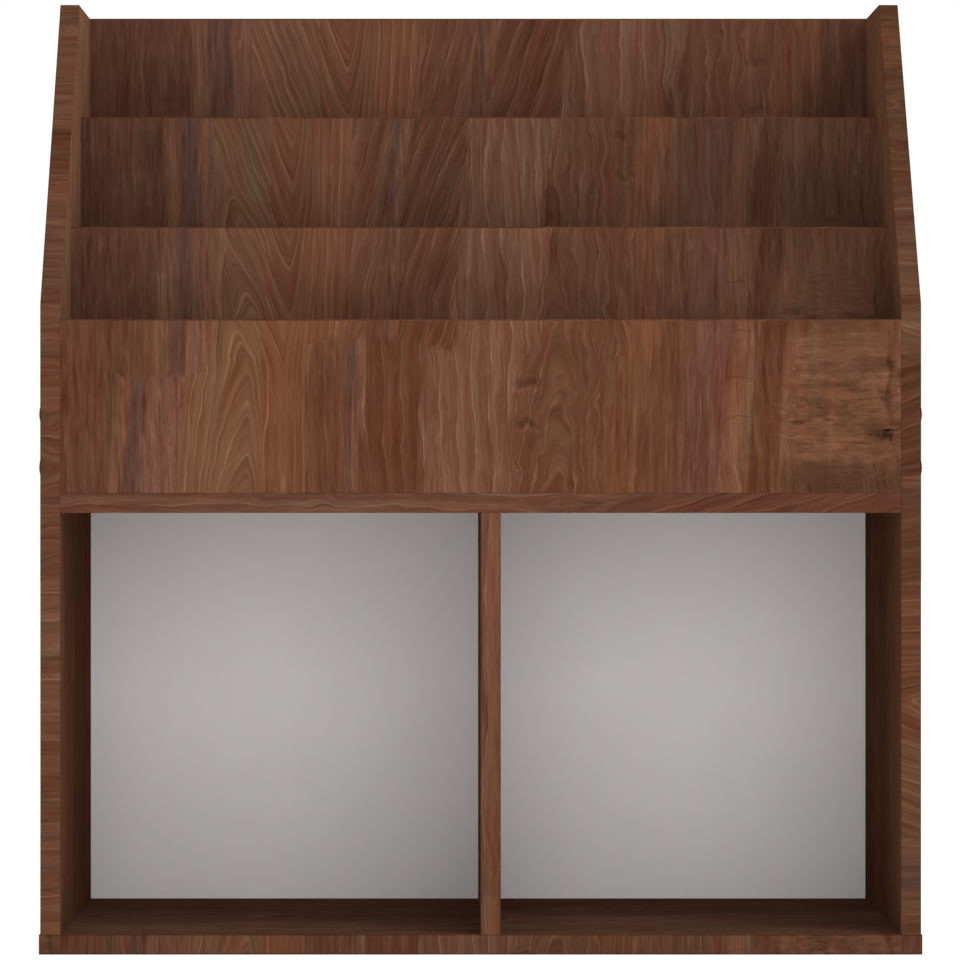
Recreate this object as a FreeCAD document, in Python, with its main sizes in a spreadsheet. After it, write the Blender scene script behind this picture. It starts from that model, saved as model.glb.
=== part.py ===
import FreeCAD, Part
import os
import Sketcher

# Kids magazine rack: two open cubbies below, and above them three magazine pockets between four
# boards that step up towards the rear, all between two side panels with a sloped front edge.
# The boards are melamine-faced, with edge bands where an edge shows, and are held by countersunk
# connecting screws under cover caps and by wooden dowels.
# X runs to the right, Y to the rear and Z up. The origin is on the floor, in the middle of the rack.

doc = FreeCAD.newDocument("MagazineRack")

# The driving dimensions, in millimetres: alias, value, meaning
SIZES = (
    ("board_thickness", "15", "every board"),
    ("left_cubby_width", "315", "clear width of the left cubby"),
    ("right_cubby_width", "300", "clear width of the right cubby"),
    ("cubby_height", "316", "clear height of both cubbies"),
    ("pocket_depth", "80", "clear depth of each magazine pocket, front to rear"),
    ("pocket_height", "130", "from a pocket's floor to the top of the board before it"),
    ("second_board_rise", "74.5", "top of the second rack board over the first"),
    ("third_board_rise", "92", "top of the third rack board over the second"),
    ("back_board_rise", "87.5", "top of the upper back board over the third rack board"),
    ("slope_foot_rise", "12", "start of the side's slope over the front rack board"),
    ("side_top_depth", "122", "level stretch at the top of a side panel"),
    ("band_thickness", "1", "edge bands"),
    ("arris_radius_share", "0.6", "rounding of a band's arrises, as a share of its thickness"),
    ("back_panel_thickness", "3", "thin panel behind the cubbies"),
    ("back_panel_lip", "4", "board left behind the thin panel's groove"),
    ("groove_depth", "5", "groove that holds the thin panel"),
    ("groove_clearance", "0.2", "room on each face of the thin panel"),
    ("groove_end_clearance", "0.5", "room past each edge of the thin panel"),
    ("screw_length", "50", "connecting screw, head included"),
    ("screw_head_diameter", "10", "countersunk head at its face"),
    ("screw_head_height", "2.5", "cone under the head's face"),
    ("screw_shank_diameter", "7", "plain shank in the outer board"),
    ("screw_thread_diameter", "5", "threaded length in the inner board"),
    ("screw_tip_length", "2.5", "cone at the screw's tip"),
    ("screw_tip_diameter", "2", "flat end of that cone"),
    ("socket_width", "4", "hexagon socket, across its flats"),
    ("socket_depth", "3.2", "hexagon socket"),
    ("bore_clearance", "0.1", "room round a screw or dowel, on the radius"),
    ("bore_spare", "1", "bore past the end of a screw or dowel"),
    ("screw_edge_distance", "40", "screws in the shelf and the base, from the front and the rear"),
    ("lower_screw_height", "19", "first screw of a rack board over its lower edge"),
    ("screw_spacing", "40", "between the front rack board's two screws"),
    ("upper_screw_drop", "31", "top fastener of a rack board under its upper edge"),
    ("cap_diameter", "12", "screw cover cap"),
    ("cap_height", "1.3", "crown of the cap over the side panel"),
    ("cap_rim_height", "0.4", "upright rim of the cap"),
    ("cap_stem_diameter", "3.4", "stem that sits in the screw's socket"),
    ("cap_stem_length", "2.6", "stem that sits in the screw's socket"),
    ("dowel_diameter", "8", "wooden dowel"),
    ("dowel_length", "30", "wooden dowel"),
    ("dowel_in_face", "10", "part of a dowel that sits in a board's face"),
    ("dowel_chamfer", "1", "bevel at both ends of a dowel"),
)

# What follows from them, as formulas: Y and Z of the boards, half widths in X, and the mitres.
# Three pockets between four boards make up the depth.
PLACES = (
    ("inner_half", "(Size.left_cubby_width + Size.board_thickness + Size.right_cubby_width) / 2"),
    ("outer_half", "inner_half + Size.board_thickness"),
    ("base_half", "outer_half + Size.band_thickness"),
    ("divider_left", "Size.left_cubby_width - inner_half"),
    ("divider_middle", "divider_left + Size.board_thickness / 2"),
    ("side_middle", "inner_half + Size.board_thickness / 2"),
    ("rear", "(3 * Size.pocket_depth + 4 * Size.board_thickness) / 2"),
    ("front", "-rear"),
    ("banded_front", "front + Size.band_thickness"),
    ("board_pitch", "Size.pocket_depth + Size.board_thickness"),
    ("second_front", "front + board_pitch"),
    ("third_front", "second_front + board_pitch"),
    ("back_front", "third_front + board_pitch"),
    ("shelf_under", "Size.board_thickness + Size.cubby_height"),
    ("shelf_middle", "shelf_under + Size.board_thickness / 2"),
    ("shelf_top", "shelf_under + Size.board_thickness"),
    ("front_top", "shelf_top + Size.pocket_height"),
    ("second_top", "front_top + Size.second_board_rise"),
    ("third_top", "second_top + Size.third_board_rise"),
    ("back_top", "third_top + Size.back_board_rise"),
    ("slope_foot", "front_top + Size.slope_foot_rise"),
    ("slope_head", "rear - Size.side_top_depth"),
    ("slope_lean", "atan((slope_head - front) / (back_top - slope_foot))"),
    ("foot_mitre", "Size.band_thickness * tan(slope_lean / 2)"),
    ("head_mitre", "Size.band_thickness * tan((90 deg - slope_lean) / 2)"),
    ("arris_radius", "Size.band_thickness * Size.arris_radius_share"),
    ("panel_rear", "rear - Size.back_panel_lip"),
    ("panel_front", "panel_rear - Size.back_panel_thickness"),
    ("panel_reach", "Size.groove_depth - Size.groove_end_clearance"),
    ("front_screw_line", "front + Size.screw_edge_distance"),
    ("rear_screw_line", "rear - Size.screw_edge_distance"),
    ("lower_screw_line", "shelf_top + Size.lower_screw_height"),
    ("countersink_angle",
     "2 * atan((Size.screw_head_diameter - Size.screw_shank_diameter) / 2 / Size.screw_head_height)"),
    ("head_bore", "Size.screw_head_diameter + 2 * Size.bore_clearance"),
    ("shank_bore", "Size.screw_shank_diameter + 2 * Size.bore_clearance"),
    ("thread_bore", "Size.screw_thread_diameter + 2 * Size.bore_clearance"),
    ("thread_depth", "Size.screw_length - Size.board_thickness + Size.bore_spare"),
    ("dowel_bore", "Size.dowel_diameter + 2 * Size.bore_clearance"),
    ("dowel_in_end", "Size.dowel_length - Size.dowel_in_face"),
    ("dowel_face_depth", "Size.dowel_in_face + Size.bore_spare"),
    ("dowel_end_depth", "dowel_in_end + Size.bore_spare"),
)

# Two coordinates closer than this are the same place
TOLERANCE = 0.001


def fill_sheet(name, rows):
    """Make a sheet with one named cell to a row: alias, content, note."""
    sheet = doc.addObject("Spreadsheet::Sheet", name)
    for row, (alias, content, note) in enumerate(rows, start=1):
        sheet.set(f"A{row}", alias)
        sheet.set(f"B{row}", content)
        sheet.setAlias(f"B{row}", alias)
        sheet.set(f"C{row}", note)
    doc.recompute()
    return sheet


fill_sheet("Size", SIZES)
place_sheet = fill_sheet("Place", [(alias, "=" + formula, "") for alias, formula in PLACES])


def number(expression):
    """The value of an expression of the sheets' cells, as a plain number."""
    value = place_sheet.evalExpression(expression)
    return float(getattr(value, "Value", value))


def origin_plane(body, role):
    return next(plane for plane in body.Origin.OriginFeatures if plane.Role == role)


def new_body(label):
    body = doc.addObject("PartDesign::Body", label)
    body.Label = label
    return body


def new_sketch(body, name, role, offset):
    """A sketch on one of the body's own origin planes, moved along its normal by the offset."""
    sketch = body.newObject("Sketcher::SketchObject", f"{body.Name}_{name}")
    sketch.AttachmentSupport = [(origin_plane(body, role), "")]
    sketch.MapMode = "FlatFace"
    sketch.setExpression(".AttachmentOffset.Base.z", offset)
    return sketch


def hold_point(sketch, element, end, across, up):
    """Tie a point of the sketch to two expressions, its distances from the sketch's origin."""
    for kind, expression in (("DistanceX", across), ("DistanceY", up)):
        constraint = Sketcher.Constraint(kind, -1, 1, element, end, number(expression))
        index = sketch.addConstraint(constraint)
        sketch.setExpression(f"Constraints[{index}]", expression)


def draw_outline(sketch, corners):
    """A closed outline of straight lines through corners given as pairs of expressions."""
    points = [FreeCAD.Vector(number(across), number(up), 0) for across, up in corners]
    lines = [sketch.addGeometry(Part.LineSegment(first, second), False)
             for first, second in zip(points, points[1:] + points[:1])]
    for line, following in zip(lines, lines[1:] + lines[:1]):
        sketch.addConstraint(Sketcher.Constraint("Coincident", line, 2, following, 1))
    for line, (across, up) in zip(lines, corners):
        hold_point(sketch, line, 1, across, up)
    return lines


def draw_rectangle(sketch, left, low, right, high):
    draw_outline(sketch, ((left, low), (right, low), (right, high), (left, high)))


def draw_circles(sketch, centres, diameter):
    """One circle of the given diameter at each centre."""
    for across, up in centres:
        middle = FreeCAD.Vector(number(across), number(up), 0)
        circle = Part.Circle(middle, FreeCAD.Vector(0, 0, 1), number(diameter) / 2)
        element = sketch.addGeometry(circle, False)
        hold_point(sketch, element, 3, across, up)
        index = sketch.addConstraint(Sketcher.Constraint("Diameter", element, number(diameter)))
        sketch.setExpression(f"Constraints[{index}]", diameter)


def pad(body, sketch, length, towards=1):
    """Raise the sketch along its plane's normal, or against it where towards is -1."""
    feature = body.newObject("PartDesign::Pad", f"{sketch.Name}_pad")
    feature.Profile = sketch
    feature.setExpression("Length", length)
    feature.Reversed = towards < 0
    doc.recompute()


def removes_material(body, feature, volume):
    """Stop if a cut that has just been added took nothing away."""
    doc.recompute()
    if not feature.Shape.Volume < volume:
        raise RuntimeError(f"{feature.Name} cuts nothing in {body.Label}")
    return feature


def pocket(body, sketch, depth, towards):
    """Cut the sketch into the body, towards +1 or -1 along its plane's normal."""
    volume = body.Shape.Volume
    feature = body.newObject("PartDesign::Pocket", f"{sketch.Name}_pocket")
    feature.Profile = sketch
    feature.setExpression("Length", depth)
    feature.Reversed = towards > 0
    return removes_material(body, feature, volume)


def bore(body, name, role, offset, centres, diameter, depth, towards):
    """Blind bores of one size from the plane at the offset."""
    sketch = new_sketch(body, name, role, offset)
    draw_circles(sketch, centres, diameter)
    return pocket(body, sketch, depth, towards)


def countersink(body, name, role, offset, centres, towards):
    """Through bores for the screws' shanks, countersunk at the plane for their heads."""
    sketch = new_sketch(body, name, role, offset)
    draw_circles(sketch, centres, "Place.shank_bore")
    doc.recompute()
    volume = body.Shape.Volume
    feature = body.newObject("PartDesign::Hole", f"{sketch.Name}_hole")
    feature.Profile = sketch
    feature.DepthType = "ThroughAll"
    feature.Reversed = towards > 0
    feature.setExpression("Diameter", "Place.shank_bore")
    feature.HoleCutType = "Countersink"
    feature.setExpression("HoleCutDiameter", "Place.head_bore")
    feature.setExpression("HoleCutCountersinkAngle", "Place.countersink_angle")
    return removes_material(body, feature, volume)


def both_ends(body, features):
    """Repeat features of the right end at the left end."""
    mirrored = body.newObject("PartDesign::Mirrored", f"{body.Name}_left_end")
    mirrored.Originals = features
    mirrored.MirrorPlane = (origin_plane(body, "YZ_Plane"), [""])
    body.Tip = mirrored
    return removes_material(body, mirrored, features[-1].Shape.Volume)


def round_arrises(body, is_arris):
    """Round the body's straight edges for whose two end points the test is true."""
    strip = body.Tip
    names = []
    for count, edge in enumerate(strip.Shape.Edges, start=1):
        first, last = (vertex.Point for vertex in edge.Vertexes)
        if is_arris(first, last):
            names.append(f"Edge{count}")
    fillet = body.newObject("PartDesign::Fillet", f"{body.Name}_arrises")
    fillet.Base = (strip, names)
    fillet.setExpression("Radius", "Place.arris_radius")
    doc.recompute()


def same(first, second):
    return abs(first - second) < TOLERANCE


def cross_board(label, front, low, rear, high, half="Place.inner_half"):
    """A board or band along X: its section in YZ, raised over both halves of its width."""
    body = new_body(label)
    sketch = new_sketch(body, "section", "YZ_Plane", f"-({half})")
    draw_rectangle(sketch, front, low, rear, high)
    pad(body, sketch, f"2 * ({half})")
    return body


def bore_board_ends(body, screws, dowels):
    """Bores in both ends of a board between the sides."""
    features = []
    if screws:
        features.append(bore(body, "screw_bores", "YZ_Plane", "Place.inner_half", screws,
                             "Place.thread_bore", "Place.thread_depth", towards=-1))
    features.append(bore(body, "dowel_bores", "YZ_Plane", "Place.inner_half", dowels,
                         "Place.dowel_bore", "Place.dowel_end_depth", towards=-1))
    both_ends(body, features)


# Where screws and dowels pass from the sides into the boards between them, as pairs of Y and Z

shelf_screws = [("Place.front_screw_line", "Place.shelf_middle"),
                ("Place.rear_screw_line", "Place.shelf_middle")]
shelf_side_dowels = [("(Place.front + Place.rear) / 2", "Place.shelf_middle")]

# The four upright boards of the rack: label, front face, top, and their screws and dowels
rack_boards = []
for label, front, top in (
        ("front_rack_board", "Place.front", "Place.front_top"),
        ("second_rack_board", "Place.second_front", "Place.second_top"),
        ("third_rack_board", "Place.third_front", "Place.third_top"),
        ("upper_back_board", "Place.back_front", "Place.back_top")):
    middle = f"{front} + Size.board_thickness / 2"
    under_top = f"{top} - Size.upper_screw_drop"
    if label == "front_rack_board":
        screw_heights = ("Place.lower_screw_line", "Place.lower_screw_line + Size.screw_spacing")
        dowel_height = under_top
    else:
        screw_heights = ("Place.lower_screw_line", under_top)
        dowel_height = f"(Place.shelf_top + {top}) / 2"
    screws = [(middle, height) for height in screw_heights]
    rack_boards.append((label, front, top, middle, screws, [(middle, dowel_height)]))

# The two raised pocket floors: label, the board before it, its upper face, and its dowels
FLOOR_DOWEL_SHARES = (0.25, 0.75)
pocket_floors = []
for label, board_front, top in (
        ("second_pocket_floor", "Place.second_front", "Place.second_top - Size.pocket_height"),
        ("third_pocket_floor", "Place.third_front", "Place.third_top - Size.pocket_height")):
    front = f"{board_front} + Size.board_thickness"
    middle = f"{top} - Size.board_thickness / 2"
    dowels = [(f"{front} + Size.pocket_depth * {share}", middle) for share in FLOOR_DOWEL_SHARES]
    pocket_floors.append((label, front, top, dowels))

side_screws = shelf_screws + [place for board in rack_boards for place in board[4]]
side_dowels = (shelf_side_dowels + [place for board in rack_boards for place in board[5]]
               + [place for floor in pocket_floors for place in floor[3]])

# Screws and dowels that stand upright, as pairs of X and Y

base_screw_lines = ("Place.front_screw_line", "Place.rear_screw_line")
base_screws = [(across, line) for across in ("-Place.side_middle", "Place.divider_middle",
                                             "Place.side_middle") for line in base_screw_lines]
side_foot_dowels = [(across, "(Place.front + Place.rear) / 2")
                    for across in ("-Place.side_middle", "Place.side_middle")]
divider_dowels = [("Place.divider_middle", line) for line in base_screw_lines]
RACK_DOWEL_SHARES = (-0.5, 0.5)
rack_foot_dowels = {label: [(f"Place.inner_half * {share}", middle) for share in RACK_DOWEL_SHARES]
                    for label, front, top, middle, screws, dowels in rack_boards[:3]}

# Bottom panel, middle shelf and divider

bottom = cross_board("bottom_panel", "Place.banded_front", "0", "Place.rear",
                     "Size.board_thickness", "Place.outer_half")
shelf = cross_board("middle_shelf", "Place.banded_front", "Place.shelf_under", "Place.rear",
                    "Place.shelf_top")
bore_board_ends(shelf, shelf_screws, shelf_side_dowels)

divider = new_body("cubby_divider")
section = new_sketch(divider, "section", "YZ_Plane", "Place.divider_left")
draw_rectangle(section, "Place.banded_front", "Size.board_thickness",
               "Place.panel_front - Size.groove_clearance", "Place.shelf_under")
pad(divider, section, "Size.board_thickness")


def groove(body, role, offset, left, low, right, high, towards):
    """The groove for the thin back panel."""
    sketch = new_sketch(body, "groove", role, offset)
    draw_rectangle(sketch, left, low, right, high)
    pocket(body, sketch, "Size.groove_depth", towards)


groove_front = "Place.panel_front - Size.groove_clearance"
groove_rear = "Place.panel_rear + Size.groove_clearance"
groove_half = "Place.inner_half + Size.groove_depth"

groove(bottom, "XY_Plane", "Size.board_thickness", f"-({groove_half})", groove_front, groove_half,
       groove_rear, towards=-1)
countersink(bottom, "screw_holes", "XY_Plane", "0", base_screws, towards=1)
bore(bottom, "dowel_bores", "XY_Plane", "Size.board_thickness", side_foot_dowels,
     "Place.dowel_bore", "Place.dowel_face_depth", towards=-1)

groove(shelf, "XY_Plane", "Place.shelf_under", "-Place.inner_half", groove_front,
       "Place.inner_half", groove_rear, towards=1)
bore(shelf, "divider_dowel_bores", "XY_Plane", "Place.shelf_under", divider_dowels,
     "Place.dowel_bore", "Place.dowel_face_depth", towards=1)
bore(shelf, "rack_dowel_bores", "XY_Plane", "Place.shelf_top",
     [place for places in rack_foot_dowels.values() for place in places],
     "Place.dowel_bore", "Place.dowel_face_depth", towards=-1)

bore(divider, "screw_bores", "XY_Plane", "Size.board_thickness",
     [place for place in base_screws if place[0] == "Place.divider_middle"],
     "Place.thread_bore", "Place.thread_depth", towards=1)
bore(divider, "dowel_bores", "XY_Plane", "Place.shelf_under", divider_dowels,
     "Place.dowel_bore", "Place.dowel_end_depth", towards=-1)

# Rack boards and pocket floors

boards = [bottom, shelf, divider]
for label, front, top, middle, screws, dowels in rack_boards:
    body = cross_board(label, front, "Place.shelf_top", f"{front} + Size.board_thickness",
                       f"{top} - Size.band_thickness")
    bore_board_ends(body, screws, dowels)
    if label in rack_foot_dowels:
        bore(body, "foot_bores", "XY_Plane", "Place.shelf_top", rack_foot_dowels[label],
             "Place.dowel_bore", "Place.dowel_end_depth", towards=1)
    boards.append(body)

for label, front, top, dowels in pocket_floors:
    body = cross_board(label, front, f"{top} - Size.board_thickness",
                       f"{front} + Size.pocket_depth", top)
    bore_board_ends(body, [], dowels)
    boards.append(body)

# Side panels: an upright outline with a slope, without the band's thickness where a band goes

side_show_line = [("Place.front", "Size.board_thickness"),
                  ("Place.front", "Place.slope_foot"),
                  ("Place.slope_head", "Place.back_top"),
                  ("Place.rear", "Place.back_top")]
side_core_line = [("Place.banded_front", "Size.board_thickness"),
                  ("Place.banded_front", "Place.slope_foot - Place.foot_mitre"),
                  ("Place.slope_head + Place.head_mitre", "Place.back_top - Size.band_thickness"),
                  ("Place.rear", "Place.back_top - Size.band_thickness")]

for side, hand in (("left", -1), ("right", 1)):
    body = new_body(f"{side}_side_panel")
    inner_face = f"{hand} * Place.inner_half"
    outer_face = f"{hand} * Place.outer_half"
    outline = new_sketch(body, "outline", "YZ_Plane", inner_face)
    draw_outline(outline, side_core_line + [("Place.rear", "Size.board_thickness")])
    pad(body, outline, "Size.board_thickness", towards=hand)
    groove(body, "YZ_Plane", inner_face, groove_front, "Size.board_thickness", groove_rear,
           "Place.shelf_under + Size.groove_depth", towards=hand)
    bore(body, "dowel_bores", "YZ_Plane", inner_face, side_dowels, "Place.dowel_bore",
         "Place.dowel_face_depth", towards=hand)
    countersink(body, "screw_holes", "YZ_Plane", outer_face, side_screws, towards=-hand)
    foot_middle = f"{hand} * Place.side_middle"
    bore(body, "foot_screw_bores", "XY_Plane", "Size.board_thickness",
         [(foot_middle, line) for line in base_screw_lines], "Place.thread_bore",
         "Place.thread_depth", towards=1)
    bore(body, "foot_dowel_bore", "XY_Plane", "Size.board_thickness",
         [(foot_middle, "(Place.front + Place.rear) / 2")], "Place.dowel_bore",
         "Place.dowel_end_depth", towards=1)
    boards.append(body)

# Thin back panel of the cubbies, held in the grooves on all four sides

back_panel = cross_board(
    "cubby_back_panel", "Place.panel_front", "Size.board_thickness - Place.panel_reach",
    "Place.panel_rear", "Place.shelf_under + Place.panel_reach",
    "Place.inner_half + Place.panel_reach")

# Edge bands: strips along every edge that shows, with their two long outer arrises rounded

bands = []
front_y = number("Place.front")

for label, low, high, half in (
        ("bottom_front_edge_band", "0", "Size.board_thickness", "Place.base_half"),
        ("middle_shelf_edge_band", "Place.shelf_under", "Place.shelf_top", "Place.inner_half")):
    body = cross_board(label, "Place.front", low, "Place.banded_front", high, half)
    round_arrises(body, lambda first, last: same(first.y, front_y) and same(last.y, front_y)
                  and not same(first.x, last.x))
    bands.append(body)

for label, front, top, middle, screws, dowels in rack_boards:
    body = cross_board(f"{label}_edge_band", front, f"{top} - Size.band_thickness",
                       f"{front} + Size.board_thickness", top)
    top_z = number(top)
    round_arrises(body, lambda first, last: same(first.z, top_z) and same(last.z, top_z)
                  and not same(first.x, last.x))
    bands.append(body)

body = new_body("cubby_divider_edge_band")
section = new_sketch(body, "section", "YZ_Plane", "Place.divider_left")
draw_rectangle(section, "Place.front", "Size.board_thickness", "Place.banded_front",
               "Place.shelf_under")
pad(body, section, "Size.board_thickness")
round_arrises(body, lambda first, last: same(first.y, front_y) and same(last.y, front_y)
              and not same(first.z, last.z))
bands.append(body)

base_half = number("Place.base_half")
show_points = [(number(across), number(up)) for across, up in side_show_line]
for side, hand in (("left", -1), ("right", 1)):
    body = new_body(f"bottom_{side}_edge_band")
    section = new_sketch(body, "section", "YZ_Plane", f"{hand} * Place.outer_half")
    draw_rectangle(section, "Place.banded_front", "0", "Place.rear", "Size.board_thickness")
    pad(body, section, "Size.band_thickness", towards=hand)
    round_arrises(body, lambda first, last: same(abs(first.x), base_half)
                  and same(abs(last.x), base_half) and not same(first.y, last.y))
    bands.append(body)

    body = new_body(f"{side}_side_edge_band")
    outline = new_sketch(body, "outline", "YZ_Plane", f"{hand} * Place.inner_half")
    draw_outline(outline, side_show_line + side_core_line[::-1])
    pad(body, outline, "Size.board_thickness", towards=hand)
    round_arrises(body, lambda first, last: same(first.x, last.x) and all(
        any(same(point.y, across) and same(point.z, up) for across, up in show_points)
        for point in (first, last)))
    bands.append(body)


def turned_piece(label, corners):
    """A turned piece: half of its section, given along X and by its radius, revolved about X."""
    body = new_body(label)
    sketch = new_sketch(body, "half_section", "XY_Plane", "0")
    draw_outline(sketch, corners)
    revolve(body, sketch)
    return body


def revolve(body, sketch):
    feature = body.newObject("PartDesign::Revolution", f"{sketch.Name}_turned")
    feature.Profile = sketch
    feature.ReferenceAxis = (sketch, ["H_Axis"])
    feature.Angle = 360
    doc.recompute()


# Connecting screw: its head's face at X = 0, its tip towards -X, a hexagon socket in the head

head_radius = "Size.screw_head_diameter / 2"
shank_radius = "Size.screw_shank_diameter / 2"
thread_radius = "Size.screw_thread_diameter / 2"
screw = turned_piece("connecting_screw", [
    ("0", "0"),
    ("0", head_radius),
    ("-Size.screw_head_height", shank_radius),
    ("-Size.board_thickness", shank_radius),
    ("-Size.board_thickness", thread_radius),
    ("Size.screw_tip_length - Size.screw_length", thread_radius),
    ("-Size.screw_length", "Size.screw_tip_diameter / 2"),
    ("-Size.screw_length", "0")])
socket = new_sketch(screw, "socket", "YZ_Plane", "0")
socket_radius = "Size.socket_width / 2 / cos(30 deg)"
draw_outline(socket, [(f"{socket_radius} * cos({turn} deg)", f"{socket_radius} * sin({turn} deg)")
                      for turn in range(0, 360, 60)])
pocket(screw, socket, "Size.socket_depth", towards=-1)

# Wooden dowel: X = 0 is the joint between the two boards, -X is the board whose end it enters

dowel_radius = "Size.dowel_diameter / 2"
bevel_radius = f"{dowel_radius} - Size.dowel_chamfer"
dowel = turned_piece("wooden_dowel", [
    ("-Place.dowel_in_end", "0"),
    ("-Place.dowel_in_end", bevel_radius),
    ("Size.dowel_chamfer - Place.dowel_in_end", dowel_radius),
    ("Size.dowel_in_face - Size.dowel_chamfer", dowel_radius),
    ("Size.dowel_in_face", bevel_radius),
    ("Size.dowel_in_face", "0")])

# Screw cover cap: its rim sits at X = 0, its crown is an arc, its stem enters the screw's socket

cap = new_body("screw_cap")
cap_sketch = new_sketch(cap, "half_section", "XY_Plane", "0")
stem_radius = "Size.cap_stem_diameter / 2"
cap_radius = "Size.cap_diameter / 2"
cap_corners = [("Size.cap_height", "0"), ("-Size.cap_stem_length", "0"),
               ("-Size.cap_stem_length", stem_radius), ("0", stem_radius), ("0", cap_radius),
               ("Size.cap_rim_height", cap_radius)]
cap_points = [FreeCAD.Vector(number(along), number(out), 0) for along, out in cap_corners]
cap_lines = [cap_sketch.addGeometry(Part.LineSegment(first, second), False)
             for first, second in zip(cap_points, cap_points[1:])]
for line, following in zip(cap_lines, cap_lines[1:]):
    cap_sketch.addConstraint(Sketcher.Constraint("Coincident", line, 2, following, 1))
for line, (along, out) in zip(cap_lines, cap_corners):
    hold_point(cap_sketch, line, 1, along, out)
hold_point(cap_sketch, cap_lines[-1], 2, *cap_corners[-1])
crown_rise = number("Size.cap_height - Size.cap_rim_height")
crown_radius = (number(cap_radius) ** 2 + crown_rise ** 2) / (2 * crown_rise)
crown_centre = FreeCAD.Vector(number("Size.cap_height") - crown_radius, 0, 0)
rim_direction = cap_points[-1] - crown_centre
crown = Part.ArcOfCircle(Part.Circle(crown_centre, FreeCAD.Vector(0, 0, 1), crown_radius), 0,
                         FreeCAD.Vector(1, 0, 0).getAngle(rim_direction))
crown_arc = cap_sketch.addGeometry(crown, False)
cap_sketch.addConstraint(Sketcher.Constraint("Coincident", crown_arc, 1, cap_lines[0], 1))
cap_sketch.addConstraint(Sketcher.Constraint("Coincident", crown_arc, 2, cap_lines[-1], 2))
cap_sketch.addConstraint(Sketcher.Constraint("PointOnObject", crown_arc, 3, -1))
revolve(cap, cap_sketch)

# Groups of identical fasteners: each is a compound of links to one piece

AS_MADE = FreeCAD.Rotation()
TURNED_ROUND = FreeCAD.Rotation(FreeCAD.Vector(0, 0, 1), 180)
POINTING_UP = FreeCAD.Rotation(FreeCAD.Vector(0, 1, 0), 90)
POINTING_DOWN = FreeCAD.Rotation(FreeCAD.Vector(0, 1, 0), -90)


def group(label, piece, places):
    """A node of several equal pieces; a place is three expressions and a rotation."""
    links = []
    for count, (across, along, up, rotation) in enumerate(places, start=1):
        link = doc.addObject("App::Link", f"{label}_{count}")
        link.LinkedObject = piece
        link.Placement = FreeCAD.Placement(FreeCAD.Vector(), rotation)
        for axis, expression in zip("xyz", (across, along, up)):
            link.setExpression(f".Placement.Base.{axis}", expression)
        links.append(link)
    compound = doc.addObject("Part::Compound", label)
    compound.Label = label
    compound.Links = links
    return compound


fasteners = []
for side, hand, rotation in (("left", -1, TURNED_ROUND), ("right", 1, AS_MADE)):
    outer_face = f"{hand} * Place.outer_half"
    inner_face = f"{hand} * Place.inner_half"
    fasteners += [
        group(f"{side}_side_screws", screw,
              [(outer_face, along, up, rotation) for along, up in side_screws]),
        group(f"{side}_screw_caps", cap,
              [(outer_face, along, up, rotation) for along, up in side_screws]),
        group(f"{side}_side_dowels", dowel,
              [(inner_face, along, up, rotation) for along, up in side_dowels])]

fasteners += [
    group("base_screws", screw, [(across, along, "0", POINTING_UP) for across, along in base_screws]),
    group("side_foot_dowels", dowel, [(across, along, "Size.board_thickness", POINTING_UP)
                                      for across, along in side_foot_dowels]),
    group("divider_dowels", dowel, [(across, along, "Place.shelf_under", POINTING_DOWN)
                                    for across, along in divider_dowels]),
    group("rack_board_dowels", dowel, [(across, along, "Place.shelf_top", POINTING_UP)
                                       for places in rack_foot_dowels.values()
                                       for across, along in places])]

# Every object is checked before a file is written

doc.recompute()
for item in doc.Objects:
    if any(state in ("Invalid", "Error") for state in item.State):
        raise RuntimeError(f"{item.Name} is not up to date: {item.State}")

sub_parts = boards + [back_panel] + bands + fasteners
for sub_part in sub_parts:
    if sub_part.Shape.isNull() or not sub_part.Shape.isValid():
        raise RuntimeError(f"{sub_part.Label} has no valid shape")

os.makedirs("parts", exist_ok=True)
for sub_part in sub_parts:
    sub_part.Shape.exportStep(os.path.join("parts", f"{sub_part.Label}.step"))
    print(sub_part.Label, "solids", len(sub_part.Shape.Solids), "volume", round(sub_part.Shape.Volume))
print(len(sub_parts), "nodes")
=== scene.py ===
"""Looks of a kids' magazine rack: dark oak-effect melamine boards with edge bands, a pale grey
hardboard behind the cubbies, plastic screw caps, on a pale floor in soft studio light."""
import math
import bpy
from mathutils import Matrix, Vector

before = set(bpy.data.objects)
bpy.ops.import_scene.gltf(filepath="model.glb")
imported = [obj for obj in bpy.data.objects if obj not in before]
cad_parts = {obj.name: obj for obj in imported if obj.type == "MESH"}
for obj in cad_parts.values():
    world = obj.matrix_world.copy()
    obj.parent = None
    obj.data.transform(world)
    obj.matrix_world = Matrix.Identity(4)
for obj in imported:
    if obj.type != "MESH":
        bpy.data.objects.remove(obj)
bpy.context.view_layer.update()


def linear(hex_colour):
    """An sRGB hex colour as linear RGBA: each channel c goes to ((c + 0.055) / 1.055) ** 2.4,
    or to c / 12.92 below 0.04045."""
    channels = [int(hex_colour[i:i + 2], 16) / 255 for i in (1, 3, 5)]
    return [((c + 0.055) / 1.055) ** 2.4 if c > 0.04045 else c / 12.92 for c in channels] + [1.0]


def add(tree, kind, *values, inputs=(), out=0, **settings):
    """Add a node with its settings and links, and give back one of its outputs. Values go to its
    inputs in order, and None leaves an input as it is; inputs names further ones. A Mix node takes
    its two values at 2 and 3, its vectors at 4 and 5, and its colours at 6 and 7."""
    node = tree.nodes.new("ShaderNode" + kind)
    for name, value in settings.items():
        setattr(node, name, value)
    for key, value in [*enumerate(values), *dict(inputs).items()]:
        if isinstance(value, bpy.types.NodeSocket):
            tree.links.new(value, node.inputs[key])
        elif value is not None:
            node.inputs[key].default_value = value
    return node.outputs[out]


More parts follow.
